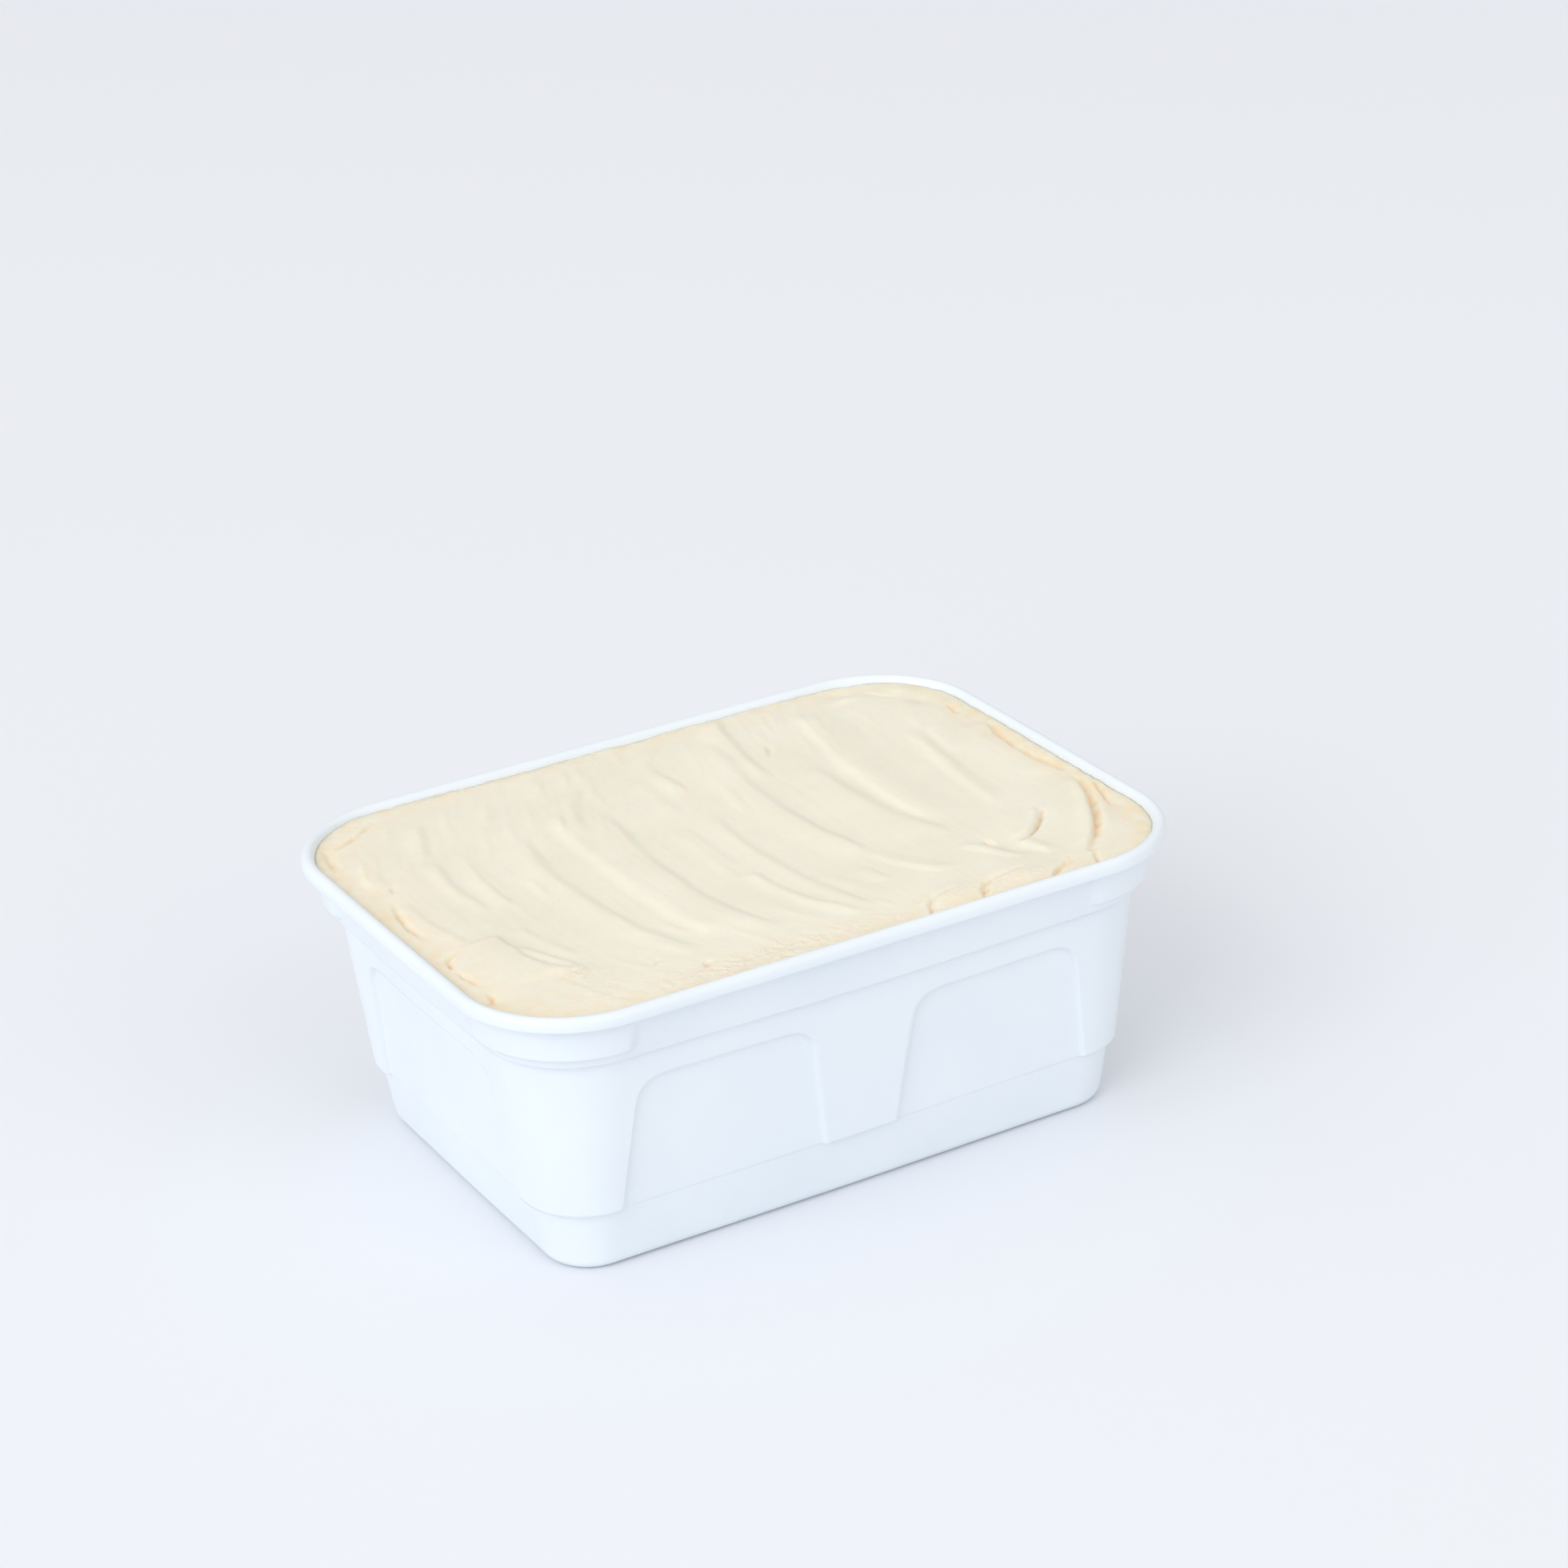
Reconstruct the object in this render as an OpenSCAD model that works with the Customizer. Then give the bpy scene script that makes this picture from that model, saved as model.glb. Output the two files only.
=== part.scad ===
// Open plastic tub of ice cream, about one litre, standing on a table without its lid.
// The tub is one thin moulded shell with parallel rounded-rectangle rings from foot to rim.
// The ice cream fills it nearly to the rim, and its top keeps the strokes of a spatula.
// Origin at the middle of the foot, +X along the long sides, +Z up.

/* [Tub] */
// Length over the rim
rim_l = 170; // [135:1:220]
// Width over the rim
rim_w = 124; // [98:1:170]
// Height from the table to the top of the rim
tub_h = 67.4; // [60:0.2:90]
// Radius of the rim's corners seen from above
rim_r = 26.5; // [21:0.5:32]
// Wall thickness where it is thinnest
wall = 0.9; // [0.7:0.1:1.6]
// Floor thickness
floor_t = 1.2; // [0.8:0.1:2.4]

/* [Rim] */
// Width of the rim's rounded bead
bead_w = 3.0; // [2.4:0.1:3.8]
// Height of the bead, top to lower lip
bead_h = 3.2; // [2.5:0.1:4]
// How far the wall is set in under the bead
neck_in = 2.8; // [2.2:0.1:3.4]
// Height of the hollow behind the bead's lip
lip_hollow = 0.7; // [0.4:0.1:1.2]

/* [Band] */
// Height of the upper band, from the rim's top down to its step
band_drop = 14; // [12.6:0.2:18]
// How far the band's lower edge stands in from the rim
band_in = 6.0; // [5:0.1:7.5]
// How far the band stands out over the wall below
band_step = 0.7; // [0.4:0.1:1.2]
// Height of the small slanted ledge at each step
ledge = 0.5; // [0.3:0.1:0.8]
// How far the corner lugs stand out of the band
lug_out = 0.8; // [0.5:0.1:1.2]
// Height of the plain strip between the band's step and the lug
lug_up = 2.2; // [1.5:0.1:3]
// Height of the corner lugs
lug_h = 5.4; // [4:0.1:6]
// Slanted edge of the corner lugs
lug_edge = 0.6; // [0.4:0.1:0.9]

/* [Wall and foot] */
// Height of the step over the base band
step_z = 15.2; // [11:0.2:18]
// How far the wall's foot stands in from the rim
wall_in = 11.7; // [10:0.1:14]
// Depth of the panels, and of the base band that they run into
panel_depth = 1.1; // [0.6:0.1:1.4]
// How far the base band's foot stands in from the rim
foot_in = 15.2; // [14:0.1:18]
// Rounding of the outer bottom edge
foot_r = 3.0; // [2:0.2:4]
// Rounding inside, where the wall meets the floor
inner_r = 4.0; // [2.5:0.5:6]

/* [Panels] */
// Plain strip between the band's step and the panels' top edge
panel_drop = 7; // [3:0.2:10]
// Radius of the panels' top corners
panel_r = 5.5; // [3:0.5:8]
// Lean of the panels' sides, sideways per height
panel_lean = 0.13; // [0:0.01:0.2]
// Width of the slanted edge round each panel
panel_edge = 0.8; // [0.5:0.1:1.2]
// Width of the rib between the two long-side panels, at its foot
rib_w = 17.6; // [12:0.2:24]
// Plain strip between a long-side panel's foot and the corner
long_margin = 0.5; // [0.3:0.1:3]
// Plain strip between a short-side panel's foot and the corner
short_margin = 2.4; // [0.5:0.1:4]

/* [Bow of the sides] */
// Outward bow of a long side at its foot
foot_bow = 0.4; // [0:0.1:1]
// Outward bow of a long side at the band
band_bow = 1.2; // [0:0.1:2]
// Outward bow of a long side at the rim
rim_bow = 0.2; // [0:0.1:0.6]

/* [Ice cream] */
// Free height between the rim's top and the ice cream at the wall
fill_drop = 2.6; // [2:0.1:3.5]
// Clearance between the ice cream and the wall
fill_gap = 0.3; // [0.2:0.05:0.5]
// Height of the ridges that the spatula left
ridge_h = 1.2; // [0.3:0.1:2]
// Width of a ridge
ridge_w = 5.6; // [4:0.2:8]
// Sideways sweep of the strokes at the front wall
sweep_front = 11; // [4:0.5:16]
// Sideways sweep of the strokes at the back wall
sweep_back = 6; // [2:0.5:12]
// Height of the folded-over lump in the front left corner
lump_h = 1.6; // [0.5:0.1:2.4]
// Depth of the hollow along the right wall
hollow_d = 1.8; // [0.5:0.1:2.5]
// Width of the strip along the wall in which the relief dies out
shore_w = 7; // [4:0.5:12]

/* [Hidden] */

band_z = tub_h - band_drop;
panel_top = band_z - panel_drop;
bead_r = bead_w / 2;
lug_z = band_z + lug_up;
neck_z = tub_h - bead_h + lip_hollow;
fill_z = tub_h - fill_drop;

// Straight half lengths of the long and the short sides, the same in every ring
long_half = rim_l / 2 - rim_r;
short_half = rim_w / 2 - rim_r;
// Slanted end of a lug, as an angle round the corner
lug_end_angle = 2.5;
arc_steps = 7;
round_steps = 3;
panel_inner_points = 2;
short_inner_points = 3;
// Grid of the ice cream's top: cells along X and along Y
cells_x = 50;
cells_y = 25;
// Strokes from left to right, where each one leaves its ridge on the tub's middle line
stroke_x = [-66, -58, -51, -40, -29, -19, -4, 4, 19, 39, 61];
// Unevenness of the ridges, as a share of their height
ridge_uneven = 0.35;
// Middle and half widths of the lump, and of the hollow beside the right wall
lump_at = [-long_half - 8, -25];
lump_size = [11, 13];
hollow_at = [long_half + 15, 5];
hollow_size = [7, 32];

// Inset of the wall's outside, without panels, at a height on the wall
function wall_inset(z) =
    lookup(z, [[step_z, wall_in], [band_z - ledge, band_in + band_step]]);
// Inset of the cavity at a height; the wall keeps its thickness behind the panels
function cavity_inset(z) = lookup(z, [
    [foot_r, foot_in + wall],
    [step_z - ledge, wall_in + panel_depth + wall],
    [panel_top, wall_inset(panel_top) + panel_depth + wall],
    [band_z - ledge, band_in + band_step + wall],
    [tub_h - bead_h, neck_in + wall],
    [tub_h - bead_r, bead_w]
]);

fill_inset = cavity_inset(fill_z) + fill_gap;

// Bow of a side at a height; a shorter side bows less, with the same curvature
function bow_at(z, half) =
    lookup(z, [[0, foot_bow], [band_z, band_bow], [tub_h - bead_h, rim_bow]])
    * pow(half / long_half, 2);
function bow(s, half, z) =
    abs(s) < half ? bow_at(z, half) * pow(1 - pow(s / half, 2), 2) : 0;

// Sideways shift of a panel's edge at a height: its lean, then its rounded top corner
function edge_shift(z) =
    let (
        h = min(max(z, step_z), panel_top),
        up = max(0, h - (panel_top - panel_r))
    )
    panel_lean * (h - step_z) + panel_r - sqrt(panel_r * panel_r - up * up);

// Columns of one panel from s0 to s1 at its foot: [place along the side, 1 inside the panel]
function panel_columns(s0, s1, z, inner) =
    let (
        shift = edge_shift(z),
        a = s0 + shift,
        b = s1 - shift,
        in_a = a + panel_edge,
        in_b = b - panel_edge
    )
    concat(
        [[a, 0]],
        [for (i = [0:inner + 1]) [in_a + (in_b - in_a) * i / (inner + 1), 1]],
        [[b, 0]]
    );
function side_columns(long, z) =
    long
        ? let (out = long_half - long_margin, rib = rib_w / 2)
          concat(
              panel_columns(-out, -rib, z, panel_inner_points),
              [[0, 0]],
              panel_columns(rib, out, z, panel_inner_points)
          )
        : let (out = short_half - short_margin)
          panel_columns(-out, out, z, short_inner_points);

// Angles of the points round a corner, with a short step at both ends for the lug's ends
corner_angles = concat(
    [0],
    [for (i = [0:arc_steps]) lug_end_angle + (90 - 2 * lug_end_angle) * i / arc_steps],
    [90]
);

// A point given along (s) and out of (n) side k: front, right, back, left
function side_point(k, s, n, z) =
    let (a = 90 * k) [s * cos(a) + n * sin(a), s * sin(a) - n * cos(a), z];

// One closed ring round the tub at an inset and height, with its recess and lug, if any
function ring(inset, z, recess = 0, lug = 0) = [
    for (k = [0:3])
        let (
            long = k % 2 == 0,
            half = long ? long_half : short_half,
            reach = (long ? rim_w : rim_l) / 2
        )
        each concat(
            [for (c = side_columns(long, z))
                side_point(k, c[0], reach - inset - recess * c[1] + bow(c[0], half, z), z)],
            [for (t = corner_angles)
                let (r = rim_r - inset + (t > 0 && t < 90 ? lug : 0))
                side_point(k, half + r * sin(t), reach - rim_r + r * cos(t), z)]
        )
];

// Rings joined into one closed skin, with a flat face on the first and the last ring
module skin(rings) {
    n = len(rings[0]);
    last = len(rings) - 1;
    polyhedron(
        points = [for (r = rings) each r],
        faces = concat(
            [[for (i = [0:n - 1]) i]],
            [for (k = [0:last - 1], i = [0:n - 1])
                let (j = (i + 1) % n) [k * n + i, (k + 1) * n + i, (k + 1) * n + j, k * n + j]],
            [[for (i = [n - 1:-1:0]) last * n + i]]
        )
    );
}

// Heights up the panels: foot, start of the rounded corners, through them, top of the recess
panel_heights = concat(
    [step_z, panel_top - panel_r],
    [for (a = [30, 55]) panel_top - panel_r + panel_r * sin(a)],
    [panel_top - panel_edge]
);
function band_inset(z) = lookup(z, [[band_z, band_in], [neck_z, neck_in]]);

module tub() {
    foot = [for (i = [0:round_steps])
        let (a = 90 * i / round_steps)
        ring(foot_in + foot_r * (1 - sin(a)), foot_r * (1 - cos(a)))];
    wall_rings = concat(
        [ring(wall_in + panel_depth, step_z - ledge)],
        [for (z = panel_heights) ring(wall_inset(z), z, recess = panel_depth)],
        [ring(wall_inset(panel_top), panel_top)],
        [ring(band_in + band_step, band_z - ledge)]
    );
    band = [
        ring(band_in, band_z),
        ring(band_inset(lug_z), lug_z),
        ring(band_inset(lug_z + lug_edge), lug_z + lug_edge, lug = lug_out),
        ring(band_inset(lug_z + lug_h - lug_edge), lug_z + lug_h - lug_edge, lug = lug_out),
        ring(band_inset(lug_z + lug_h), lug_z + lug_h),
        ring(neck_in, neck_z)
    ];
    bead = concat(
        [ring(bead_r, neck_z), ring(bead_r / 2, tub_h - bead_h), ring(0, tub_h - bead_h + bead_r / 3)],
        [for (a = [0:45:180]) ring(bead_r * (1 - cos(a)), tub_h - bead_r + bead_r * sin(a))]
    );
    inside = concat(
        [for (z = [tub_h - bead_h, band_z - ledge, panel_top, step_z - ledge])
            ring(cavity_inset(z), z)],
        [for (i = [0:round_steps])
            let (a = 90 * i / round_steps)
            ring(floor_inset(a), floor_t + inner_r * (1 - sin(a)))]
    );
    color("#F2F5F8") skin(concat(foot, wall_rings, band, bead, inside));
}

// Inset on the rounded edge of the cavity's floor, from the wall (0) to the floor (90)
function floor_inset(a) = cavity_inset(floor_t + inner_r) + inner_r * (1 - cos(a));

// Sideways sweep of the strokes, which run along Y and turn towards +X at both walls
function sweep(y) =
    y < 0
        ? sweep_front * pow(-2 * y / rim_w, 2.6)
        : sweep_back * pow(2 * y / rim_w, 2);

// Plan of the ice cream at an inset: grid place (u, v) from -1 to 1 to a point on the plan.
// The lines of even u follow the strokes.
function plan_point(u, v, inset, z) =
    let (
        half_y = rim_w / 2 - inset,
        y = half_y * sin(90 * v),
        r = rim_r - inset,
        past = max(0, abs(y) - (half_y - r)),
        half_x = rim_l / 2 - inset - r + sqrt(max(0, r * r - past * past)),
        x = half_x * u + sweep(y) * (1 - u * u)
    )
    [
        x * (1 + bow(y, short_half, z) / half_x),
        y * (1 + bow(x, long_half, z) / half_y)
    ];

function sum(v, i = 0) = i < len(v) ? v[i] + sum(v, i + 1) : 0;
function bump(t) = exp(-t * t);
// A ridge with the shallow groove beside it
function ridge(t) = bump(t) - 0.7 * bump(t - 1.3);
// Height of the strokes' relief at a place s along the tub's middle line
function strokes(s) = ridge_h * sum([
    for (k = [0:len(stroke_x) - 1])
        (1 - ridge_uneven * sin(137 * k)) * ridge((s - stroke_x[k]) * 2 / ridge_w)
]);
// Height of a soft hill of 1 round a place
function hill(x, y, at, size) = bump((x - at[0]) / size[0]) * bump((y - at[1]) / size[1]);
// How far the relief has risen at a distance from the wall, from 0 to 1
function shore(x, y) =
    let (
        dx = max(0, abs(x) - long_half),
        dy = max(0, abs(y) - short_half),
        from_rim = min(rim_r - sqrt(dx * dx + dy * dy), rim_w / 2 - abs(y), rim_l / 2 - abs(x)),
        t = min(1, max(0, (from_rim - fill_inset) / shore_w))
    )
    t * t * (3 - 2 * t);
function relief(x, y, s) =
    shore(x, y) * (
        strokes(s)
        + lump_h * hill(x, y, lump_at, lump_size)
        - hollow_d * hill(x, y, hollow_at, hollow_size)
    );

module ice_cream() {
    // Grid places on the plan's edge, anticlockwise from the front left
    edge = concat(
        [for (i = [0:cells_x - 1]) [i, 0]],
        [for (j = [0:cells_y - 1]) [cells_x, j]],
        [for (i = [cells_x:-1:1]) [i, cells_y]],
        [for (j = [cells_y:-1:1]) [0, j]]
    );
    function plan(i, j, inset, z) = plan_point(2 * i / cells_x - 1, 2 * j / cells_y - 1, inset, z);
    levels = concat(
        [for (a = [90, 45, 0]) [floor_inset(a), floor_t + inner_r * (1 - sin(a))]],
        [for (z = [step_z - ledge, panel_top, band_z - ledge]) [cavity_inset(z), z]]
    );
    side = [for (l = levels, e = edge)
        let (p = plan(e[0], e[1], l[0] + fill_gap, l[1])) [p[0], p[1], l[1]]];
    top = [for (j = [0:cells_y], i = [0:cells_x])
        let (
            p = plan(i, j, fill_inset, fill_z),
            s = rim_l * (i / cells_x - 0.5)
        )
        [p[0], p[1], fill_z + relief(p[0], p[1], s)]];
    n = len(edge);
    start = len(side);
    function at(i, j) = start + j * (cells_x + 1) + i;
    // The side's point k on level l, where the level above the last is the top's edge
    function on(l, k) = l < len(levels) ? l * n + k % n : at(edge[k % n][0], edge[k % n][1]);
    color("#F1E9D6")
        polyhedron(
            points = concat(side, top),
            faces = concat(
                [[for (k = [0:n - 1]) k]],
                [for (l = [0:len(levels) - 1], k = [0:n - 1])
                    [on(l, k), on(l + 1, k), on(l + 1, k + 1), on(l, k + 1)]],
                [for (j = [0:cells_y - 1], i = [0:cells_x - 1])
                    each [[at(i, j), at(i, j + 1), at(i + 1, j + 1)],
                        [at(i, j), at(i + 1, j + 1), at(i + 1, j)]]]
            )
        );
}

tub();
ice_cream();
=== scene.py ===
# Open plastic tub of ice cream without its lid: the moulded tub, and the ice cream with the
# strokes of the spatula in its top.
import math
import random

import bmesh
import bpy
from mathutils import Matrix, Vector, noise


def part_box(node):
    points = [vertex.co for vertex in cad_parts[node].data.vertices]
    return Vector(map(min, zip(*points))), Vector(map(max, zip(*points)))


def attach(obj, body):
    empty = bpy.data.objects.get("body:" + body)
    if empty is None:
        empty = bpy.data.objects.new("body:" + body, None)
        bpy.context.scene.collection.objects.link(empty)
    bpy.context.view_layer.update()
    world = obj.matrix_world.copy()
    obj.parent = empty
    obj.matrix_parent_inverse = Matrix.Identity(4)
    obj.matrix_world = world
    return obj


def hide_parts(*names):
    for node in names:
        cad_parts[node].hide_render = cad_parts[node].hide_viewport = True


mm = 0.001
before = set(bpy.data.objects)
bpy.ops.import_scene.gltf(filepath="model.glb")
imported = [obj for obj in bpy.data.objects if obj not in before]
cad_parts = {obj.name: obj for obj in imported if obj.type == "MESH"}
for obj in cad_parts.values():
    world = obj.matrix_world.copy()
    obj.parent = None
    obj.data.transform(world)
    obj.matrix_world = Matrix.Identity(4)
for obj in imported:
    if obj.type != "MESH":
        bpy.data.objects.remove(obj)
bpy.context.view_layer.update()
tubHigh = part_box("tub")[1]
print("frame loaded:", len(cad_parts), "nodes")


# Small helpers

def lookUp(x, table):
    # straight between the table's points, level beyond its ends
    if x <= table[0][0]:
        return table[0][1]
    for (x0, y0), (x1, y1) in zip(table, table[1:]):
        if x <= x1:
            return y0 + (y1 - y0) * (x - x0) / (x1 - x0)
    return table[-1][1]


def smooth(t):
    # eased from 0 to 1
    t = min(1.0, max(0.0, t))
    return t * t * (3 - 2 * t)


def finishPiece(bm, name, material):
    # the pieces are modelled in millimetres and brought to metres here
    bmesh.ops.scale(bm, vec=(mm, mm, mm), verts=bm.verts)
    bmesh.ops.recalc_face_normals(bm, faces=bm.faces)
    for face in bm.faces:
        face.smooth = True
    mesh = bpy.data.meshes.new(name)
    bm.to_mesh(mesh)
    bm.free()
    piece = bpy.data.objects.new(name, mesh)
    bpy.context.collection.objects.link(piece)
    mesh.materials.append(material)
    return piece


def extrudeLoop(bm, loop):
    # a new closed loop of vertices grown from the last one, in the same order
    count = len(loop)
    edges = [bm.edges.get((loop[i], loop[(i + 1) % count])) for i in range(count)]
    grown = bmesh.ops.extrude_edge_only(bm, edges=edges)["geom"]
    new = {item for item in grown if isinstance(item, bmesh.types.BMVert)}
    return [
        next(e.other_vert(v) for e in v.link_edges if e.other_vert(v) in new) for v in loop
    ]


def closeLoop(bm, loop):
    count = len(loop)
    edges = [bm.edges.get((loop[i], loop[(i + 1) % count])) for i in range(count)]
    bmesh.ops.contextual_create(bm, geom=edges)


# Materials

def linearColour(text):
    # sRGB hex to the linear values that the shader takes
    channels = [int(text[i:i + 2], 16) / 255 for i in (1, 3, 5)]
    linear = [c / 12.92 if c <= 0.04045 else ((c + 0.055) / 1.055) ** 2.4 for c in channels]
    return linear + [1.0]


def addNode(tree, kind, inputs=None, **settings):
    node = tree.nodes.new(kind)
    for key, value in settings.items():
        setattr(node, key, value)
    for key, value in (inputs or {}).items():
        if isinstance(value, bpy.types.NodeSocket):
            tree.links.new(value, node.inputs[key])
        else:
            node.inputs[key].default_value = value
    return node


def newMaterial(name):
    material = bpy.data.materials.new(name)
    material.use_nodes = True
    tree = material.node_tree
    return material, tree, tree.nodes["Principled BSDF"]


def perMetre(size):
    # a noise scale whose features are about this many millimetres across
    return 1 / (size * mm)


polypropylene = {
    "white": "#EDF4FA",        # opaque white masterbatch, on the cool side
    "shade": "#E9F1F8",        # where the melt flowed a little thinner
    "roughness": 0.34,
    "roughnessSpread": (-0.04, 0.06),   # from the cloudiest places to the clearest
    "ior": 1.49,
    "flowMarks": 26,           # mm, cloudiness of the moulded surface
    "flowEdges": (0.3, 0.7),   # part of the noise that shows as cloudiness
    "orangePeel": 1.3,         # mm, the faint waviness of a moulded wall
    "peelDepth": 0.012,        # mm
    "glow": 0.08,              # share of light that travels inside the thin wall
    "glowDepth": 0.3,          # mm
}


def makePolypropylene():
    # White polypropylene, injection moulded in a polished tool: satin, faintly wavy, and the
    # thin walls let some light through, so the shadows on it stay soft and bluish.
    p = polypropylene
    material, tree, shader = newMaterial("injectionMouldedPolypropylene")
    place = addNode(tree, "ShaderNodeTexCoord").outputs["Object"]
    flow = addNode(tree, "ShaderNodeTexNoise", {
        "Vector": place, "Scale": perMetre(p["flowMarks"]), "Detail": 3.0, "Roughness": 0.5,
    })
    low, high = p["flowEdges"]
    ramp = addNode(tree, "ShaderNodeValToRGB", {"Fac": flow.outputs["Fac"]})
    ramp.color_ramp.elements[0].position = low
    ramp.color_ramp.elements[0].color = linearColour(p["shade"])
    ramp.color_ramp.elements[1].position = high
    ramp.color_ramp.elements[1].color = linearColour(p["white"])
    tree.links.new(ramp.outputs["Color"], shader.inputs["Base Color"])
    gloss = addNode(tree, "ShaderNodeMapRange", {
        "Value": flow.outputs["Fac"], "From Min": low, "From Max": high,
        "To Min": p["roughness"] + p["roughnessSpread"][0],
        "To Max": p["roughness"] + p["roughnessSpread"][1],
    })
    tree.links.new(gloss.outputs["Result"], shader.inputs["Roughness"])
    peel = addNode(tree, "ShaderNodeTexNoise", {
        "Vector": place, "Scale": perMetre(p["orangePeel"]), "Detail": 1.0,
    })
    bump = addNode(tree, "ShaderNodeBump", {
        "Height": peel.outputs["Fac"], "Distance": p["peelDepth"] * mm, "Strength": 1.0,
    })
    tree.links.new(bump.outputs["Normal"], shader.inputs["Normal"])
    shader.inputs["IOR"].default_value = p["ior"]
    shader.inputs["Subsurface Weight"].default_value = p["glow"]
    shader.inputs["Subsurface Radius"].default_value = (1.0, 1.0, 1.0)
    shader.inputs["Subsurface Scale"].default_value = p["glowDepth"] * mm
    return material


frozenCream = {
    "cream": "#EDE8D6",        # the smooth, whipped main mass
    "pale": "#F2EDDD",         # crests and frost
    "warmAndShade": "#F4D6A8",         # warmer, darker tone along the walls, and painted warm shade in the holes
    "frostAndGlint": "#FCF6E6",        # grains of ice, paler in colour and partly a painted glint
    "roughness": 0.5,
    "iceRoughness": 0.3,
    "ior": 1.38,
    "cloud": 18,               # mm, slow change of tone in the mass
    "blotch": 3.5,             # mm, patches in which the warm tone comes and goes
    "frostGrain": 1.1,         # mm, grains of frost, drawn coarse enough to show
    "bubble": 0.9,             # mm, air bubbles, drawn about three times too coarse to show
    "bubbleDepth": 0.05,       # mm
    "crystal": 1.1,            # mm, ice crystals where the mass was torn
    "crystalDepth": 0.35,      # mm
    "glow": 0.6,               # share of light that travels inside the milky mass
    "glowDepth": 2.4,          # mm
    "glowReach": (1.0, 0.68, 0.42),   # red goes furthest, which warms the shadows
}


def makeFrozenCream():
    # Dairy ice cream, whipped and frozen: dense and milky, so light goes a little way in and
    # comes out warm, and the top is matt with a wet sheen and icy grains, partly painted
    # glints, where it was torn.
    c = frozenCream
    material, tree, shader = newMaterial("whippedDairyIceCream")
    place = addNode(tree, "ShaderNodeTexCoord").outputs["Object"]
    warmthAndHoleShade = addNode(tree, "ShaderNodeAttribute", attribute_name="warmthAndHoleShade").outputs["Fac"]
    grain = addNode(tree, "ShaderNodeAttribute", attribute_name="grain").outputs["Fac"]
    cloud = addNode(tree, "ShaderNodeTexNoise", {
        "Vector": place, "Scale": perMetre(c["cloud"]), "Detail": 4.0, "Roughness": 0.55,
    })
    tone = addNode(tree, "ShaderNodeValToRGB", {"Fac": cloud.outputs["Fac"]})
    tone.color_ramp.elements[0].position = 0.3
    tone.color_ramp.elements[0].color = linearColour(c["cream"])
    tone.color_ramp.elements[1].position = 0.75
    tone.color_ramp.elements[1].color = linearColour(c["pale"])
    patch = addNode(tree, "ShaderNodeTexNoise", {
        "Vector": place, "Scale": perMetre(c["blotch"]), "Detail": 3.0,
    })
    blotch = addNode(tree, "ShaderNodeMapRange", {
        "Value": patch.outputs["Fac"], "From Min": 0.35, "From Max": 0.65, "To Min": 0.2,
    })
    # warm tone, and painted warm shade in the holes, coming and going in patches
    warmAndShadeShare = addNode(tree, "ShaderNodeMath", {0: warmthAndHoleShade, 1: blotch.outputs["Result"]},
                        operation="MULTIPLY")
    warmedAndShaded = addNode(tree, "ShaderNodeMix", {
        "Factor": warmAndShadeShare.outputs["Value"], 6: tone.outputs["Color"],
        7: linearColour(c["warmAndShade"]),
    }, data_type="RGBA")
    # pale specks where the top was torn: grains of ice, partly painted glints
    speck = addNode(tree, "ShaderNodeTexVoronoi", {
        "Vector": place, "Scale": perMetre(c["frostGrain"]),
    })
    frostAndGlint = addNode(tree, "ShaderNodeMapRange", {
        "Value": speck.outputs["Distance"], "From Min": 0.35, "From Max": 0.1,
        "To Min": 0.3, "To Max": 0.9,
    })
    frostAndGlintShare = addNode(tree, "ShaderNodeMath", {0: frostAndGlint.outputs["Result"], 1: grain},
                         operation="MULTIPLY")
    frostedAndGlinting = addNode(tree, "ShaderNodeMix", {
        "Factor": frostAndGlintShare.outputs["Value"], 6: warmedAndShaded.outputs[2],
        7: linearColour(c["frostAndGlint"]),
    }, data_type="RGBA")
    tree.links.new(frostedAndGlinting.outputs[2], shader.inputs["Base Color"])
    gloss = addNode(tree, "ShaderNodeMapRange", {
        "Value": grain, "To Min": c["roughness"], "To Max": c["iceRoughness"],
    })
    tree.links.new(gloss.outputs["Result"], shader.inputs["Roughness"])
    bubbles = addNode(tree, "ShaderNodeTexNoise", {
        "Vector": place, "Scale": perMetre(c["bubble"]), "Detail": 2.0,
    })
    crystals = addNode(tree, "ShaderNodeTexNoise", {
        "Vector": place, "Scale": perMetre(c["crystal"]), "Detail": 3.0, "Roughness": 0.7,
    })
    icy = addNode(tree, "ShaderNodeMath", {0: crystals.outputs["Fac"], 1: grain},
                  operation="MULTIPLY")
    relief = addNode(tree, "ShaderNodeMath", {
        0: icy.outputs["Value"], 1: c["crystalDepth"] / c["bubbleDepth"],
        2: bubbles.outputs["Fac"],
    }, operation="MULTIPLY_ADD")
    bump = addNode(tree, "ShaderNodeBump", {
        "Height": relief.outputs["Value"], "Distance": c["bubbleDepth"] * mm, "Strength": 1.0,
    })
    tree.links.new(bump.outputs["Normal"], shader.inputs["Normal"])
    shader.inputs["IOR"].default_value = c["ior"]
    shader.inputs["Subsurface Weight"].default_value = c["glow"]
    shader.inputs["Subsurface Radius"].default_value = c["glowReach"]
    shader.inputs["Subsurface Scale"].default_value = c["glowDepth"] * mm
    return material


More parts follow.
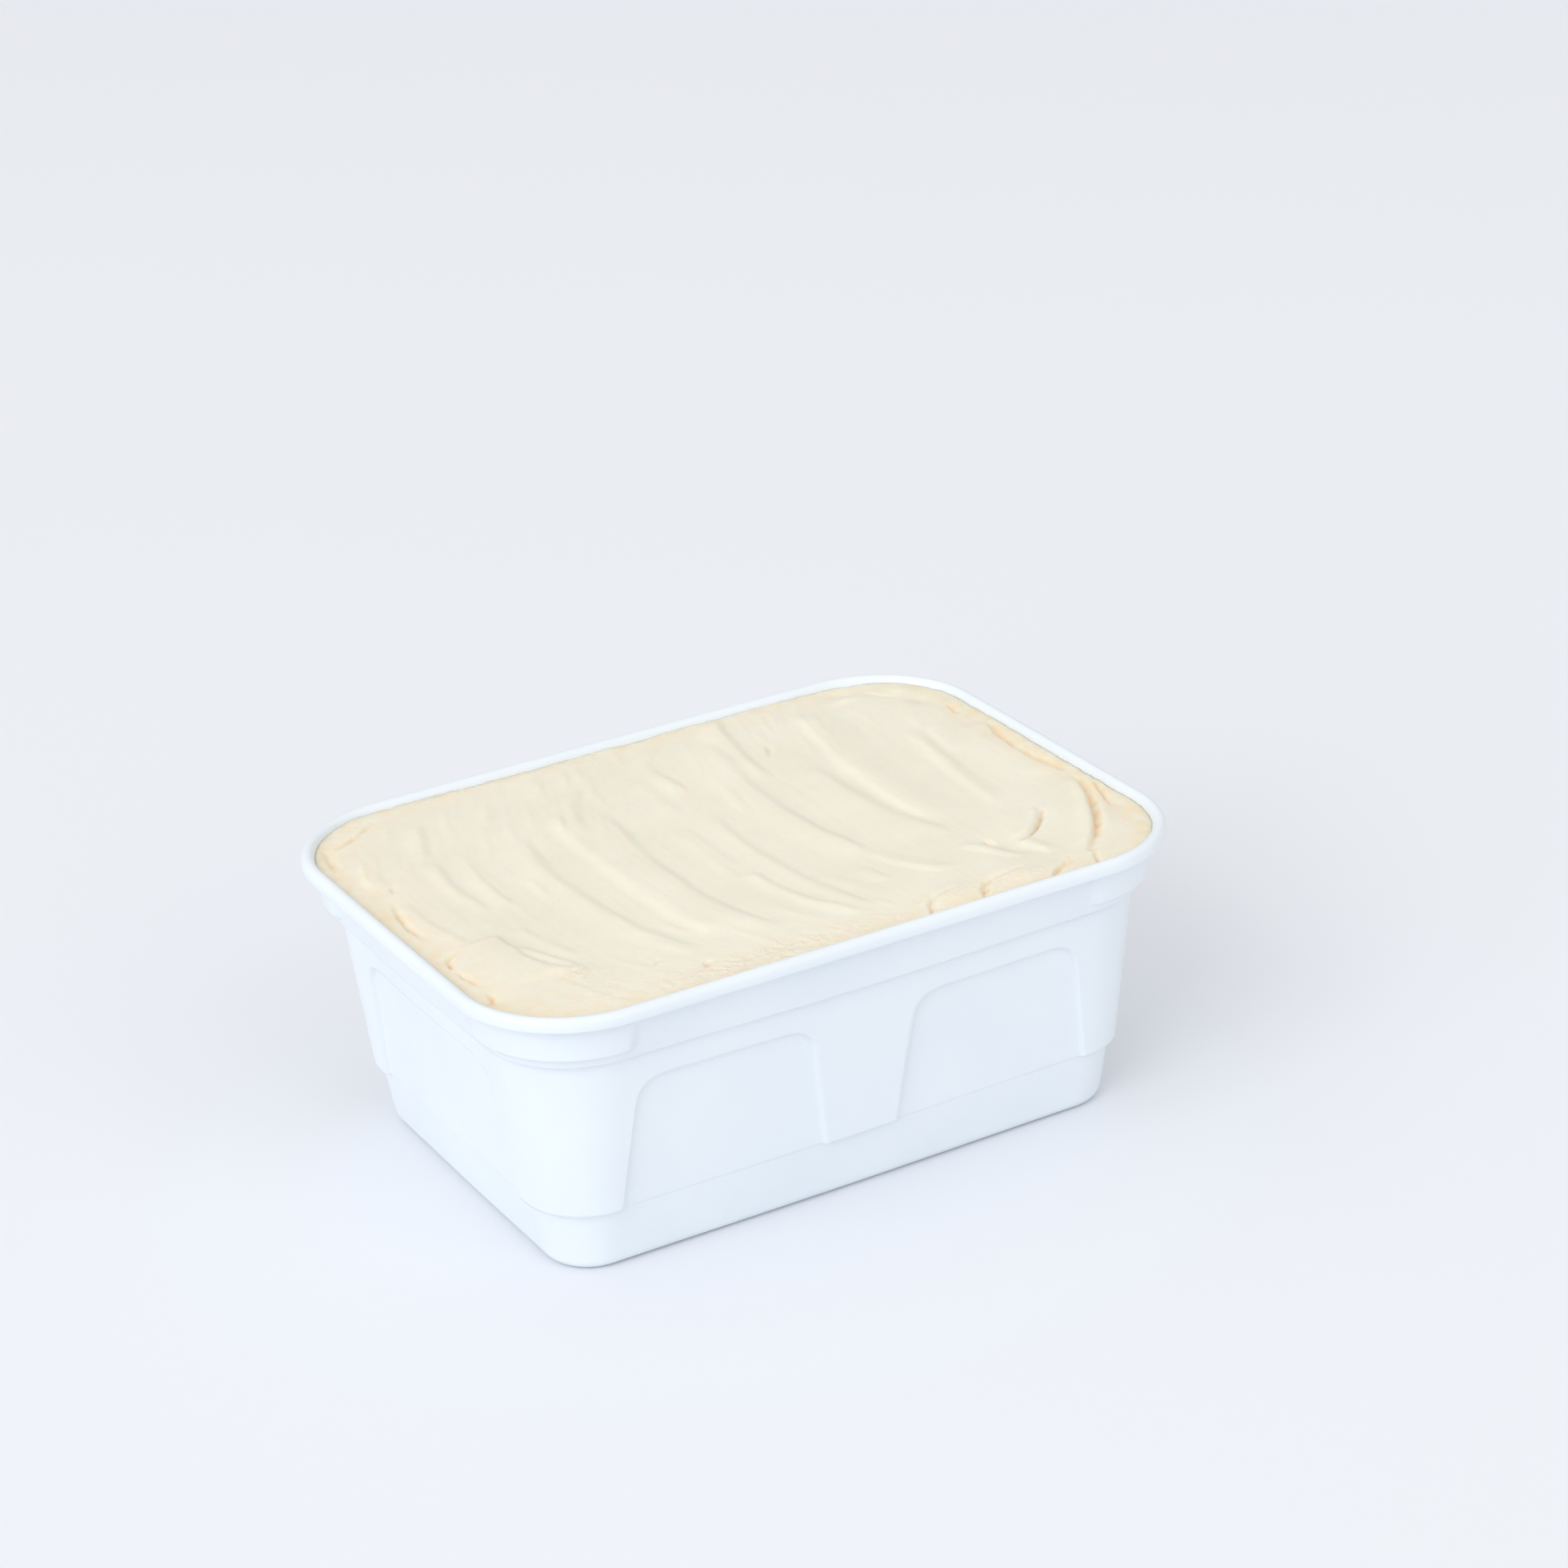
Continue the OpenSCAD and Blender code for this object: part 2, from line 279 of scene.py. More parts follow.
# The tub: parallel rings from the middle of the underside, up the outside, over the rim's bead
# and down inside to the middle of the floor. Millimetres.
tub = {
    "halfX": tubHigh.x / mm - 0.074,   # without the bow of the sides
    "halfY": tubHigh.y / mm - 0.2,
    "height": tubHigh.z / mm,
    "rimRadius": 26.5,
    "wall": 0.9,
    "floor": 1.2,
    "innerRadius": 4.0,
    "beadWidth": 3.0,
    "beadHeight": 3.2,
    "neckInset": 2.8,
    "lipHollow": 0.7,
    "bandDrop": 14.0,
    "bandInset": 5.9,
    "bandStep": 1.6,
    "ledge": 0.2,
    "lugOut": 1.4,             # at its foot; the lug's face is steeper than the flared band
    "lugOutTop": 0.45,
    "lugUp": 2.2,
    "lugEdge": 0.3,
    "lugReach": 3.6,           # how far a lug runs on past the corner, in a slanted end
    "stepZ": 15.2,
    "wallInset": 11.7,
    "panelDepth": 1.25,
    "baseDepth": 1.5,          # the base band lies a little deeper than the panels
    "footInset": 15.2,
    "footRadius": 3.0,
    "panelDrop": 7.0,
    "panelRadius": 5.5,
    "panelLean": 0.13,         # sideways per height
    "panelFan": 0.3,           # how much the lines of a panel's edge spread at its top corners
    "panelEdge": 0.55,
    "ribWidth": 17.6,
    "longMargin": 0.5,
    "shortMargin": 2.4,
    "bow": (0.4, 1.2, 0.2),    # of the long sides, at the foot, the band and the rim
    "underRecess": 0.5,        # the underside stands on its edge only
    "standWidth": 2.4,
    "gateRadius": 4.0,         # dimple round the moulding gate
    "gateNub": 0.9,
    "tight": 0.2,              # distance of the lines that keep an edge crisp
}
bandZ = tub["height"] - tub["bandDrop"]
panelTop = bandZ - tub["panelDrop"]
beadFoot = tub["height"] - tub["beadHeight"]
neckZ = beadFoot + tub["lipHollow"]
longHalf = tub["halfX"] - tub["rimRadius"]
shortHalf = tub["halfY"] - tub["rimRadius"]


def wallInset(z):
    return lookUp(z, [(tub["stepZ"], tub["wallInset"]),
                      (bandZ - tub["ledge"], tub["bandInset"] + tub["bandStep"])])


def footInset(z):
    return lookUp(z, [(tub["footRadius"], tub["footInset"]),
                      (tub["stepZ"] - tub["ledge"], tub["wallInset"] + tub["baseDepth"])])


def bandInset(z):
    return lookUp(z, [(bandZ, tub["bandInset"]), (neckZ, tub["neckInset"])])


def cavityInset(z):
    wall, depth = tub["wall"], tub["panelDepth"]
    return lookUp(z, [
        (tub["footRadius"], tub["footInset"] + wall),
        (tub["stepZ"] - tub["ledge"], tub["wallInset"] + tub["baseDepth"] + wall),
        (panelTop, wallInset(panelTop) + depth + wall),
        (bandZ - tub["ledge"], tub["bandInset"] + tub["bandStep"] + wall),
        (beadFoot, tub["neckInset"] + wall),
        (tub["height"] - tub["beadWidth"] / 2, tub["beadWidth"]),
    ])


def bow(s, half, z):
    if abs(s) >= half:
        return 0.0
    foot, band, rim = tub["bow"]
    most = lookUp(z, [(0, foot), (bandZ, band), (beadFoot, rim)]) * (half / longHalf) ** 2
    return most * (1 - (s / half) ** 2) ** 2


def sidePoint(side, s, n, z):
    # s along and n out of the front, right, back or left side
    a = math.radians(90 * side)
    return Vector((s * math.cos(a) + n * math.sin(a), s * math.sin(a) - n * math.cos(a), z))


def panelPlace(centre, lean, radius, z):
    # a panel's edge line: leaning inwards, and round at the top about the corner's centre
    t = tub
    h = min(max(z, t["stepZ"]), panelTop)
    up = max(0.0, h - (panelTop - t["panelRadius"]))
    spread = t["panelFan"] * (t["panelRadius"] - radius) * up / t["panelRadius"]
    arc = math.sqrt(max(0.0, radius * radius - up * up))
    return centre + lean * (t["panelLean"] * (h - t["stepZ"]) - arc + spread)


def panelColumns(left, right, between):
    # [place at a height, share of the recess] of each line up a panel
    outer = tub["panelRadius"]
    foot = outer - tub["panelEdge"]
    inner = foot - tub["tight"]
    radii = [(outer + tub["tight"], 0), (outer, 0), (foot, 1), (inner, 1)]
    a, b = left + outer, right - outer
    columns = [(lambda z, r=r: panelPlace(a, 1, r, z), share) for r, share in radii]
    for i in range(1, between + 1):
        f = i / (between + 1)
        columns.append((
            lambda z, f=f: (1 - f) * panelPlace(a, 1, inner, z)
            + f * panelPlace(b, -1, inner, z), 1
        ))
    return columns + [
        (lambda z, r=r: panelPlace(b, -1, r, z), share) for r, share in reversed(radii)
    ]


def lugColumns(half, first, end):
    # lines between a corner and the nearest panel: they carry the slanted end of the lug
    # above, and crowd together at the foot
    def place(z, f, reach):
        panel = first(z)
        corner = end * half
        room = max(0.0, abs(panel - corner) - 0.05)
        lean = min(room * 0.9, reach)
        return corner - end * (lean if room > 2 else room * f)
    # share of the room at the foot, distance from the corner above, share of the lug
    reach = tub["lugReach"]
    steps = [(0.15, reach * 0.25, 1.0), (0.35, reach * 0.55, 0.75), (0.6, reach * 0.85, 0.1),
             (0.8, reach, 0.0)]
    lines = [(lambda z, f=f, r=r: place(z, f, r), -share) for f, r, share in steps]
    return lines if end < 0 else lines[::-1]


def tubColumns():
    # one entry for each line up the tub: (side, place along it, recess) or (side, angle, lug);
    # a negative share belongs to the lug instead of the panel
    t = tub
    columns = []
    for side in range(4):
        if side % 2 == 0:
            out, rib = longHalf - t["longMargin"], t["ribWidth"] / 2
            lines = (
                panelColumns(-out, -rib, 9)
                + [(lambda z, s=s: s, 0) for s in (-4.0, 0.0, 4.0)]
                + panelColumns(rib, out, 9)
            )
        else:
            out = shortHalf - t["shortMargin"]
            lines = panelColumns(-out, out, 13)
        half = longHalf if side % 2 == 0 else shortHalf
        lines = lugColumns(half, lines[0][0], -1) + lines + lugColumns(half, lines[-1][0], 1)
        columns += [("side", side, place, share) for place, share in lines]
        columns += [("corner", side, 90 * i / 14, 1) for i in range(15)]
    return columns


def tubRing(columns, inset, z, recess=0.0, lug=0.0, blunt=1.0, shrink=1.0):
    # blunt above 1 draws the ends of a lug in, which rounds its lower corners
    t = tub
    points = []
    for kind, side, place, share in columns:
        long = side % 2 == 0
        half = longHalf if long else shortHalf
        reach = t["halfY"] if long else t["halfX"]
        if kind == "side":
            s = place(z)
            out = -recess * share if share > 0 else lug * (-share) ** blunt
            point = sidePoint(side, s, reach - inset + out + bow(s, half, z), z)
        else:
            a = math.radians(place)
            r = t["rimRadius"] - inset + lug * share
            s, n = half + r * math.sin(a), reach - t["rimRadius"] + r * math.cos(a)
            point = sidePoint(side, s, n, z)
        points.append(Vector((point.x * shrink, point.y * shrink, z)))
    return points


def roundPoints(points, radius, z):
    # the same lines gathered into a circle
    return [Vector((p.x, p.y, 0)).normalized() * radius + Vector((0, 0, z)) for p in points]


def tubRings():
    t = tub
    columns = tubColumns()
    tight = t["tight"]
    edge = t["footInset"] + t["footRadius"]
    under = t["underRecess"]
    # underside: gate in the middle, flat, and the narrow ring on which the tub stands
    flat = tubRing(columns, edge + t["standWidth"], under)
    rings = [
        roundPoints(flat, r, z) for r, z in (
            (0.2, under), (t["gateNub"] * 0.8, under), (t["gateNub"], under + 0.1),
            (t["gateNub"] + 0.1, under + 0.35), (t["gateRadius"] * 0.8, under + 0.4),
            (t["gateRadius"], under + 0.3), (t["gateRadius"] * 1.1, under),
            (9, under), (16, under),
        )
    ]
    rings += [
        tubRing(columns, edge + t["standWidth"], under, shrink=s) for s in (0.55, 0.75, 0.92)
    ]
    rings += [tubRing(columns, edge + i, z) for i, z in (
        (t["standWidth"], under), (2.1, under * 0.8), (1.9, under * 0.1), (1.6, 0), (0.4, 0))]
    for i in range(7):
        a = math.radians(90 * i / 6)
        rings.append(tubRing(columns, t["footInset"] + t["footRadius"] * (1 - math.sin(a)),
                             t["footRadius"] * (1 - math.cos(a))))
    # base band and the step over it
    top = t["stepZ"] - t["ledge"]
    rings += [tubRing(columns, footInset(z), z) for z in (5.5, 8.5, 11.5, top - tight, top)]
    # wall with its panels
    turn = panelTop - t["panelRadius"]
    heights = [t["stepZ"], t["stepZ"] + tight] + [
        t["stepZ"] + (turn - t["stepZ"]) * i / 6 for i in range(1, 7)
    ]
    heights += [
        turn + t["panelRadius"] * math.sin(math.radians(a)) for a in (14, 27, 39, 49, 57)
    ]
    heights += [panelTop - t["panelEdge"] - tight * 0.5, panelTop - t["panelEdge"]]
    rings += [tubRing(columns, wallInset(z), z, recess=t["panelDepth"]) for z in heights]
    step = bandZ - t["ledge"]
    rings += [tubRing(columns, wallInset(z), z) for z in
              (panelTop, panelTop + tight, panelTop + 3, step - tight * 0.6, step)]
    # flared band with the lugs at its corners
    lugZ = bandZ + t["lugUp"]
    faceZ = lugZ + t["lugEdge"]
    rings += [tubRing(columns, bandInset(z), z) for z in
              (bandZ, bandZ + tight * 0.6, lugZ - tight, lugZ)]
    for i in range(6):
        f = i / 5
        z = faceZ + (neckZ - 0.2 - faceZ) * f ** 1.4
        rings.append(tubRing(columns, bandInset(z), z,
                             lug=t["lugOut"] + (t["lugOutTop"] - t["lugOut"]) * f,
                             blunt=1 + 3 * (1 - f) ** 3))
    # hollow behind the lip, the lip and the rounded bead
    bead = t["beadWidth"] / 2
    rings += [tubRing(columns, i, z) for i, z in (
        (t["neckInset"] - 0.5, neckZ), (bead + 0.3, neckZ), (bead, neckZ - 0.1),
        (bead - 0.3, beadFoot + 0.15), (bead * 0.6, beadFoot), (0.3, beadFoot + 0.08),
        (0.05, beadFoot + 0.4), (0, beadFoot + 0.8))]
    rings += [
        tubRing(columns, bead * (1 - math.cos(math.radians(a))),
                t["height"] - bead + bead * math.sin(math.radians(a)))
        for a in (0, 22, 44, 66, 90, 114, 136, 158, 180)
    ]
    # inside
    floorTop = t["floor"] + t["innerRadius"]
    rings += [tubRing(columns, cavityInset(z), z) for z in
              (beadFoot, beadFoot - 3, bandZ + 3, step, panelTop, 30, top, 9)]
    for i in range(5):
        a = math.radians(90 * i / 4)
        rings.append(tubRing(
            columns, cavityInset(floorTop) + t["innerRadius"] * (1 - math.cos(a)),
            floorTop - t["innerRadius"] * math.sin(a)))
    last = cavityInset(floorTop) + t["innerRadius"]
    rings += [tubRing(columns, last, t["floor"], shrink=s) for s in (0.8, 0.5, 0.25)]
    rings.append(roundPoints(flat, 3, t["floor"]))
    return rings


def makeTub(material):
    rings = tubRings()
    bm = bmesh.new()
    loop = bmesh.ops.create_circle(bm, segments=len(rings[0]), radius=1)["verts"]
    for count, ring in enumerate(rings):
        if count:
            loop = extrudeLoop(bm, loop)
        for v, point in zip(loop, ring):
            v.co = point
        if not count:
            closeLoop(bm, loop)
    closeLoop(bm, loop)
    piece = finishPiece(bm, "mouldedTub", material)
    rounding = piece.modifiers.new("rounding", "SUBSURF")
    rounding.levels = rounding.render_levels = 1
    rounding.use_limit_surface = False   # quicker, and no different to look at
    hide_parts("tub")
    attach(piece, "root")
    print("tub:", len(rings), "rings of", len(rings[0]))
    return piece


# The ice cream: a grid on the tub's plan, raised by the strokes, dragged marks and torn edges
# that the spatula left, then closed down to the tub's floor. Millimetres.
cream = {
    "cellsX": 350,
    "cellsY": 240,
    "level": 65.85,            # at the walls
    "crown": 0.3,              # how much higher the middle stands
    "crownRise": 14,           # distance from the wall at which it is reached
    "gap": 0.08,               # clearance to the tub's wall
    "sweepFront": 11.0,        # sideways turn of the strokes towards the front wall
    "sweepBack": 6.0,
    "shore": 5.0,              # strip along the wall in which the relief dies out
    "heapAtWall": 0.35,        # share of a heap that is left at the wall
    "fade": 8,                 # distance from its ends over which a ridge grows
    "widen": 1.6,              # a slope dies out this much further than its width says
    "leftFall": 1.4,           # power that hollows a ridge's left slope
    "waver": 0.35,             # sideways unsteadiness of the strokes
    "uneven": 0.3,             # unevenness of their height
    "streak": 0.035,           # fine lines along the strokes
    "swell": 0.35,             # slow undulation
    "tornRelief": 0.22,        # roughness where the top was torn
    "wallRelief": 0.22,        # and in the strip along the wall
    "lineStep": 0.5,           # between the places kept along a mark
}

# Warm tone, with painted warm shade in the holes: share and reach for the wall, the wide margin
# along it, and the two ends of the tub with where each begins; shares alone for the holes and
# the torn patches
warmToneAndShade = {
    "wall": (0.2, 5),
    "margin": (0.26, 13),
    "leftEnd": (0.12, 30, -45),
    "rightEnd": (0.18, 8, 70),
    "holeShade": 0.6,
    "torn": 0.2,
}

# Ridges beside the strokes, from the back wall to the front: the crest's line, its height, the
# widths of the slopes on its left and right, and how far from its ends it fades. An open one
# runs on into the back wall.
ridges = [
    # left of the middle
    {"line": [(-39, 28), (-40.2, 22), (-42.3, 8), (-42.4, -3), (-41.4, -18), (-38.9, -30),
              (-36, -39), (-32.5, -46)],
     "height": 0.5, "left": 5, "right": 1.9},
    {"line": [(-26.5, 32), (-29, 23), (-29.6, 5), (-29.6, -12), (-28.6, -27), (-26, -42)],
     "height": 0.72, "left": 2.4, "right": 7.0},
    {"line": [(-27, 33), (-30, 22)], "height": 0.25, "left": 2, "right": 1.2, "fade": 4},
    {"line": [(-16.5, 43), (-21, 35.5), (-25, 26.5), (-26.6, 18)],
     "height": 0.42, "left": 3, "right": 1.6, "fade": 5},
    {"line": [(-18.4, 27), (-19.3, 18), (-21, 6), (-21.6, -8), (-21.4, -20), (-19.7, -31),
              (-17, -40), (-14, -46)],
     "height": 0.5, "left": 6, "right": 1.8},
    {"line": [(-8, 11), (-8, -8), (-7, -17)], "height": 0.25, "left": 4, "right": 1.9},
    {"line": [(-6.6, -18), (-5.8, -27), (-2.6, -38), (0.4, -44), (3.2, -49)],
     "height": 0.52, "left": 2.2, "right": 1.4, "fade": 3},
    # middle and right of it
    {"line": [(-3, 42), (-5, 14)], "height": 0.21, "left": 3, "right": 1.8},
    {"line": [(1.4, 14), (-0.6, -3), (0.2, -18), (1.8, -30), (4.2, -40), (6.8, -49)],
     "height": 0.38, "left": 4, "right": 1.6},
    {"line": [(10, 55), (3.8, 47), (1.5, 40.5), (2.1, 32), (2.8, 23)],
     "height": 0.42, "left": 3.5, "right": 1.6},
    {"line": [(11.8, 27), (9.8, 17), (8.6, 7)], "height": 0.25, "left": 2, "right": 1.4},
    {"line": [(18.6, 50), (17.8, 36), (16.2, 28), (15.4, 18), (15.2, 3), (16.4, -10),
              (18.2, -20), (18.8, -27)],
     "height": 0.59, "left": 6, "right": 1.9},
    {"line": [(19.6, -24), (22, -32), (25.8, -38.5), (29, -43)],
     "height": 0.41, "left": 1.4, "right": 3.0, "fade": 3},
    {"line": [(15.4, -30), (15.2, -34), (16.2, -39)],
     "height": 0.31, "left": 3, "right": 1.2, "fade": 2},
    {"line": [(28, 60), (25.2, 50), (22.3, 33), (20.8, 20)],
     "height": 0.91, "left": 5, "right": 1.8, "fade": 12, "open": True},
    {"line": [(33.4, 48), (30.8, 39)], "height": 0.21, "left": 2, "right": 1.1, "fade": 3},
    {"line": [(32.2, 24), (32, 10), (32.4, -2), (33.6, -11), (36, -20), (39, -28)],
     "height": 0.65, "left": 8, "right": 2.5},
    {"line": [(46, 50), (43.5, 37), (41, 24), (39.5, 8), (39.1, -5), (40.6, -21)],
     "height": 0.63, "left": 1.8, "right": 7.0},
    {"line": [(62, 28), (60, 14), (58.4, 3), (57.4, -10), (56.4, -23)],
     "height": 0.54, "left": 2.2, "right": 2.5},
    {"line": [(69, 27), (66, 20), (64.6, 8)],
     "height": 0.36, "left": 1.6, "right": 4.0, "fade": 4},
    # the right end: the mass breaks off in a long curve beside the wall
    {"line": [(81, 22), (77, 14), (75.4, 4), (75.8, -5), (77.6, -14)],
     "height": 0.7, "left": 9, "right": 1.2, "fade": 4},
    {"line": [(77.6, -16), (74.1, -27), (69.7, -35.5), (64.6, -43.3), (58.4, -50)],
     "height": 0.63, "left": 2.4, "right": 1.1, "fade": 4},
    # the left end
    {"line": [(-72.5, 37), (-75.4, 28), (-76, 21)],
     "height": 0.45, "left": 1.4, "right": 3.0, "fade": 4},
    {"line": [(-74.2, 13), (-74.4, 0), (-73, -10), (-72.2, -15)],
     "height": 0.25, "left": 3, "right": 1.1, "fade": 4},
    {"line": [(-55, 47), (-58.6, 36), (-61.2, 28)],
     "height": 0.56, "left": 3, "right": 1.5, "fade": 4},
    {"line": [(-60, 28), (-62.5, 14), (-61.4, -4)], "height": 0.42, "left": 2.5, "right": 1.5},
    {"line": [(-54.6, 24), (-55.9, 10), (-56.2, -4)],
     "height": 0.42, "left": 2.5, "right": 1.1, "fade": 4},
    {"line": [(-53.5, 31), (-54.6, -8)], "height": 0.14, "left": 2, "right": 1.5},
    {"line": [(-37, 48), (-42.4, 36)], "height": 0.35, "left": 2, "right": 1.6, "fade": 4},
    {"line": [(-40.3, 35), (-44.4, 27)], "height": 0.21, "left": 2, "right": 1.2, "fade": 3},
    {"line": [(-46.8, 8), (-47.5, -5)], "height": 0.31, "left": 1.4, "right": 1.1, "fade": 4},
    # a heap pressed in at the front left: steep where it ends on the right
    {"line": [(-66, -13.6), (-65.8, -21), (-65.2, -28), (-62.6, -33.5), (-59, -38)],
     "height": 0.59, "left": 9, "right": 1.2, "fade": 2},
    {"line": [(-65, -20), (-61.4, -27.5), (-58.4, -34), (-57, -40)],
     "height": 0.34, "left": 1.8, "right": 1.1, "fade": 3},
    {"line": [(-60.4, -12), (-57.4, -25), (-55, -33)],
     "height": 0.28, "left": 2.5, "right": 1.4, "fade": 4},
    # in front of the middle
    {"line": [(38.4, -33), (41.6, -39.5), (46.6, -46.5)],
     "height": 0.52, "left": 1.6, "right": 2.2, "fade": 3},
    {"line": [(50, -37), (50.6, -42), (52.2, -48)],
     "height": 0.58, "left": 1.1, "right": 2.4, "fade": 3},
    {"line": [(61.4, -26.6), (58, -31.6), (55, -34.2), (52, -36.2), (49.6, -37.2)],
     "height": 0.42, "left": 1.6, "right": 0.6, "fade": 1.5},
]

# Faint dragged lines, scattered over a patch and slanting with the strokes: how many, the
# middle of the patch, its half widths, how far they slant, greatest height
scratches = [
    {"count": 60, "at": (-44, 36), "size": (34, 16), "slant": 0.36, "height": 0.15},
    {"count": 40, "at": (30, 40), "size": (38, 12), "slant": 0.27, "height": 0.12},
    {"count": 50, "at": (-15, -8), "size": (60, 22), "slant": 0.0, "height": 0.09},
    {"count": 24, "at": (-26, -40), "size": (36, 8), "slant": -0.45, "height": 0.15},
    {"count": 12, "at": (73, -32), "size": (7, 14), "slant": 0.6, "height": 0.25},
]
scratchReach = (4, 13)         # half length, from the shortest to the longest
scratchSide = (0.7, 1.2)       # width of the slope on the right

# Dragged holes and tears: line, depth and half width. Each is steep on its left, drawn out on
# its right, and shallower towards its uneven ends.
cutShape = {
    "left": 0.9,               # width of a slope for each half width
    "right": 2.0,
    "endShare": 0.35,          # of the depth left at the ends
    "mean": 1.1,               # share of the depth on the whole
    "uneven": 0.5,             # and how far it strays from that
    "waver": 0.3,              # sideways unsteadiness
}
cuts = [
    {"line": [(62.3, -28.5), (59.6, -32), (56.4, -35), (53.4, -37.2), (50.4, -38.6)],
     "depth": 1.3, "half": 0.6},
    {"line": [(43.4, -35), (43.2, -37.2)], "depth": 1.29, "half": 0.9},
    {"line": [(31, 38), (29.9, 35.8), (28.2, 32.8)], "depth": 0.48, "half": 0.7},
    {"line": [(-75.8, 13.5), (-77.6, 7.5), (-78.3, 0), (-77.8, -5)],
     "depth": 0.82, "half": 0.7},
    {"line": [(-72.4, 21), (-73.7, 18.6)], "depth": 0.61, "half": 0.7},
    {"line": [(-75, -15.4), (-78, -17.8), (-79.2, -22)], "depth": 0.82, "half": 0.7},
    {"line": [(-79.3, -24), (-78.2, -32)], "depth": 0.61, "half": 0.6},
    {"line": [(-77.6, -36), (-79, -41)], "depth": 0.75, "half": 0.8},
    {"line": [(-61.5, 54.6), (-67.3, 50), (-73.6, 46.2)], "depth": 0.68, "half": 0.8},
    {"line": [(-77, 47), (-79, 36)], "depth": 0.61, "half": 1.0},
    {"line": [(23.5, -50), (19.8, -51.2), (17.2, -54), (15.2, -58)],
     "depth": 0.88, "half": 0.9},
    {"line": [(40, -50), (33.5, -51.4), (30.4, -54), (28.2, -58)],
     "depth": 1.02, "half": 0.9},
    {"line": [(54, -51.6), (51, -53.6), (48, -55.4), (45.6, -58)],
     "depth": 0.88, "half": 0.9},
    {"line": [(60.4, -51.4), (58.7, -54.5), (57.6, -58)], "depth": 0.68, "half": 0.7},
    {"line": [(-34.4, -49.3), (-35.4, -50.8)], "depth": 0.68, "half": 0.7},
    {"line": [(-42.4, -42.8), (-44.2, -45)], "depth": 0.41, "half": 0.6},
    {"line": [(65.6, 51), (67.2, 48.6), (69.2, 45.6)], "depth": 0.61, "half": 0.8},
    {"line": [(77.8, 33.5), (76.8, 28.5)], "depth": 0.61, "half": 0.9},
    # beside the mass that breaks off on the right
    {"line": [(79.4, 18.5), (77.4, 12), (76.7, 3), (77.4, -6), (79, -12)],
     "depth": 1.16, "half": 1.1},
    {"line": [(78.8, -18.5), (75.4, -27.5), (71, -36), (66, -44), (59.8, -51)],
     "depth": 1.43, "half": 1.1},
    {"line": [(81, -20), (79.2, -27), (76.6, -34)], "depth": 0.61, "half": 0.7},
]

# Broad heaps (positive) and hollows (negative): middle, half widths, height
heaps = [
    {"at": (-72, -26), "size": (8, 12), "height": 0.5},
    {"at": (80, 4), "size": (4, 20), "height": -0.5},
    {"at": (79, -34), "size": (7, 12), "height": -0.5},
    {"at": (-20, -54), "size": (32, 5), "height": -0.35},
    {"at": (24, -53), "size": (6, 4), "height": 0.4},
    {"at": (41, -53), "size": (5, 4), "height": 0.5},
    {"at": (54, -30), "size": (8, 6), "height": 0.4},
    {"at": (47.5, -41), "size": (3.5, 4.5), "height": -0.9},
    {"at": (36.5, 5), "size": (3, 22), "height": -0.4},
    {"at": (74, 41), "size": (2.4, 3), "height": -0.8},
    {"at": (60, 55.5), "size": (3.5, 2.5), "height": -0.7},
    {"at": (60, 49.8), "size": (4, 1.6), "height": 0.6},
    {"at": (73.5, 48), "size": (2.6, 4), "height": 0.9},
]

# Torn, icy patches: middle, half widths, strength
tornPatches = [
    {"at": (-22, -54), "size": (29, 4), "share": 1.0},
    {"at": (-60, -48), "size": (16, 7), "share": 0.3},
    {"at": (-59, -39), "size": (5, 3), "share": 1.0},
    {"at": (-43, -44), "size": (3, 2), "share": 0.6},
    {"at": (35, -53), "size": (24, 4), "share": 0.5},
    {"at": (-70, 50), "size": (8, 6), "share": 0.4},
    {"at": (-38, 58), "size": (22, 3), "share": 0.4},
    {"at": (76, -45), "size": (7, 8), "share": 0.3},
]


def through(line, y):
    # where a line through the points, smooth and falling in y, crosses a given y
    if y >= line[0][1]:
        return line[0][0]
    for k in range(len(line) - 1):
        (x0, y0), (x1, y1) = line[k], line[k + 1]
        if y >= y1:
            before = line[k - 1] if k else line[k]
            after = line[k + 2] if k + 2 < len(line) else line[k + 1]
            t = (y0 - y) / (y0 - y1)
            m0 = (x1 - before[0]) / (before[1] - y1) * (y0 - y1)
            m1 = (after[0] - x0) / (y0 - after[1]) * (y0 - y1)
            t2, t3 = t * t, t * t * t
            return ((2 * t3 - 3 * t2 + 1) * x0 + (t3 - 2 * t2 + t) * m0
                    + (3 * t2 - 2 * t3) * x1 + (t3 - t2) * m1)
    return line[-1][0]


def linePlaces(line):
    # the line's x at even steps of y, from front to back
    front, back, step = line[-1][1], line[0][1], cream["lineStep"]
    count = int((back - front) / step) + 1
    return [through(line, front + step * i) for i in range(count + 1)]


def prepareMarks():
    # the faint lines are short ridges drawn by lot
    lot = random.Random(4)
    for patch in scratches:
        (x, y), (w, d) = patch["at"], patch["size"]
        for _ in range(patch["count"]):
            middle, reach = y + d * lot.uniform(-1, 1), lot.uniform(*scratchReach)
            place, side = x + w * lot.uniform(-1, 1), lot.uniform(*scratchSide)
            ridges.append({
                "line": [(place + patch["slant"] * reach, middle + reach),
                         (place - patch["slant"] * reach, middle - reach)],
                "height": patch["height"] * lot.uniform(0.3, 1) ** 1.5,
                "left": side * 1.8, "right": side, "fade": reach * 0.8,
            })
    for number, mark in enumerate(ridges + cuts):
        mark["front"], mark["back"] = mark["line"][-1][1], mark["line"][0][1]
        mark["places"] = linePlaces(mark["line"])
        mark["seed"] = 7.3 * number
        mark["least"], mark["most"] = min(mark["places"]), max(mark["places"])


